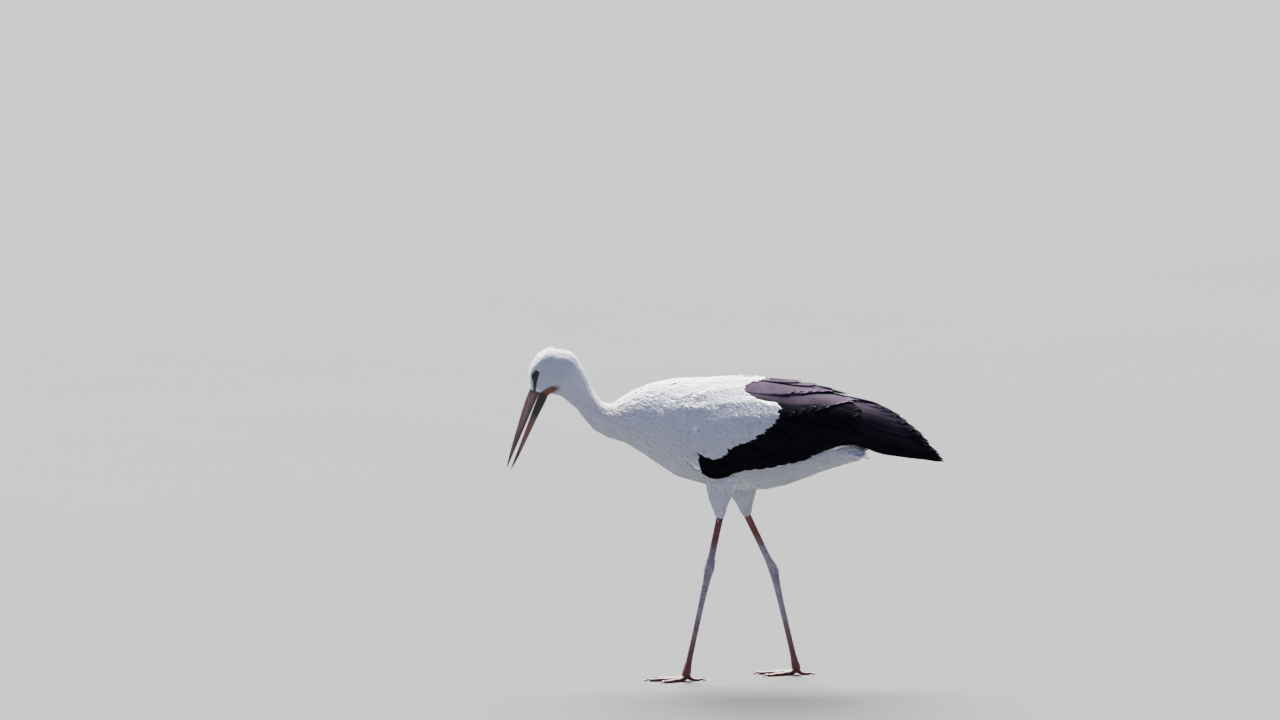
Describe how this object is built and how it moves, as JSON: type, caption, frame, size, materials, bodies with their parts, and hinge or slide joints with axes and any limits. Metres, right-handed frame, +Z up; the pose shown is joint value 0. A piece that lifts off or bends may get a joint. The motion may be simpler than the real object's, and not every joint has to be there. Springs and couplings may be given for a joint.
{
  "type": "white stork",
  "caption": "Life-size white stork walking with its head lowered to feed: white body, black flight feathers, long bill and long thin legs.",
  "frame": {"origin": "on the ground, under the middle of the bird's box", "axes": "+X towards the tail along the body, -X the way the bird faces, +Y towards its right side, +Z up"},
  "size_m": [0.8342, 0.2158, 0.6355],
  "materials": {
    "plumage_white": "soft white feathers, a little buff at the neck",
    "plumage_black": "black feathers with a faint mauve-brown gloss",
    "bill": "dull brown-red horn, blackish below and at the tip",
    "claw": "dark horn",
    "leg_skin": "scaly skin, dull red",
    "eye": "wet, very dark brown"
  },
  "bodies": {
    "root": {"head": "plumage_white", "neck_upper": "plumage_white", "neck_lower": "plumage_white", "trunk": "plumage_white", "eye_left": "eye", "eye_right": "eye", "bill_upper": "bill", "bill_lower": "bill", "wing_left_coverts": "plumage_white", "wing_left_primaries": "plumage_black", "wing_left_tertials": "plumage_black", "wing_left_secondaries": "plumage_black", "wing_right_coverts": "plumage_white", "wing_right_primaries": "plumage_black", "wing_right_tertials": "plumage_black", "wing_right_secondaries": "plumage_black", "tail": "plumage_white", "thigh_left": "plumage_white", "shank_left": "leg_skin", "tarsus_left": "leg_skin", "toe_left_middle": "leg_skin", "claw_left_middle": "claw", "toe_left_inner": "leg_skin", "claw_left_inner": "claw", "toe_left_outer": "leg_skin", "claw_left_outer": "claw", "toe_left_hind": "leg_skin", "claw_left_hind": "claw", "thigh_right": "plumage_white", "shank_right": "leg_skin", "tarsus_right": "leg_skin", "toe_right_middle": "leg_skin", "claw_right_middle": "claw", "toe_right_inner": "leg_skin", "claw_right_inner": "claw", "toe_right_outer": "leg_skin", "claw_right_outer": "claw", "toe_right_hind": "leg_skin", "claw_right_hind": "claw"}
  },
  "joints": []
}
